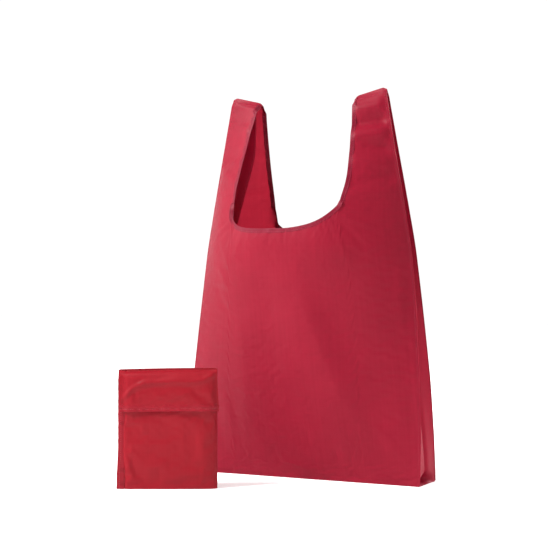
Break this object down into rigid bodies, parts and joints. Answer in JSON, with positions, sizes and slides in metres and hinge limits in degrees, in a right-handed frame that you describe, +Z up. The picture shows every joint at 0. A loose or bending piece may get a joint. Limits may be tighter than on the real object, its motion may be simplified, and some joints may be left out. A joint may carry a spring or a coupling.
{
  "type": "foldable tote bag",
  "caption": "Foldable vest-shaped cloth tote bag standing open, with folded side gussets, bound edges and looped shoulder straps, and its flat envelope pouch with a fold-over flap.",
  "frame": {"origin": "middle of the bag's base, on the floor", "axes": "+Z up towards the straps, -Y out of the bag's front, +X to the right seen from the front"},
  "size_m": [0.3646, 0.3256, 0.55],
  "materials": {
    "bag_cloth": "smooth coated polyester taffeta, fine plain weave, low satin sheen",
    "bag_binding": "doubled polyester binding, stitched along its edge",
    "pouch_cloth": "smooth coated polyester taffeta, fine plain weave, low satin sheen",
    "pouch_binding": "folded polyester hem, stitched along its edge"
  },
  "bodies": {
    "bag_body": {"front_panel": "bag_cloth", "back_panel": "bag_cloth", "left_gusset": "bag_cloth", "right_gusset": "bag_cloth", "base_panel": "bag_cloth", "front_neck_binding": "bag_binding", "back_neck_binding": "bag_binding", "left_front_seam_binding": "bag_binding", "left_back_seam_binding": "bag_binding", "right_front_seam_binding": "bag_binding", "right_back_seam_binding": "bag_binding", "front_base_seam_binding": "bag_binding", "back_base_seam_binding": "bag_binding"},
    "left_handle": {"left_handle_front_strip": "bag_cloth", "left_handle_back_strip": "bag_cloth", "left_handle_gusset": "bag_cloth", "left_handle_front_binding": "bag_binding", "left_handle_back_binding": "bag_binding", "left_handle_front_seam_binding": "bag_binding", "left_handle_back_seam_binding": "bag_binding", "left_handle_top_seam": "bag_binding"},
    "right_handle": {"right_handle_front_strip": "bag_cloth", "right_handle_back_strip": "bag_cloth", "right_handle_gusset": "bag_cloth", "right_handle_front_binding": "bag_binding", "right_handle_back_binding": "bag_binding", "right_handle_front_seam_binding": "bag_binding", "right_handle_back_seam_binding": "bag_binding", "right_handle_top_seam": "bag_binding"},
    "pouch": {"pouch_back_panel": "pouch_cloth", "pouch_front_panel": "pouch_cloth", "pouch_mouth_hem": "pouch_binding", "pouch_bottom": "pouch_cloth", "pouch_left_side": "pouch_cloth", "pouch_right_side": "pouch_cloth"},
    "flap": {"pouch_flap": "pouch_cloth", "pouch_flap_hem": "pouch_binding"}
  },
  "joints": [
    {"name": "left_strap_bend", "type": "hinge", "parent": "bag_body", "child": "left_handle", "pos_m": [-0.115, 0, 0.418], "axis": [0, 1, 0], "range_deg": [-15, 30]},
    {"name": "right_strap_bend", "type": "hinge", "parent": "bag_body", "child": "right_handle", "pos_m": [0.115, 0, 0.418], "axis": [0, -1, 0], "range_deg": [-15, 30]},
    {"name": "pouch_move_away", "type": "slide", "parent": "bag_body", "child": "pouch", "axis": [0.454, -0.891, 0], "range_m": [0, 0.15]},
    {"name": "flap_open", "type": "hinge", "parent": "pouch", "child": "flap", "pos_m": [-0.1125, -0.20482, 0.1574], "axis": [-0.891, -0.454, 0], "range_deg": [0, 170]}
  ]
}
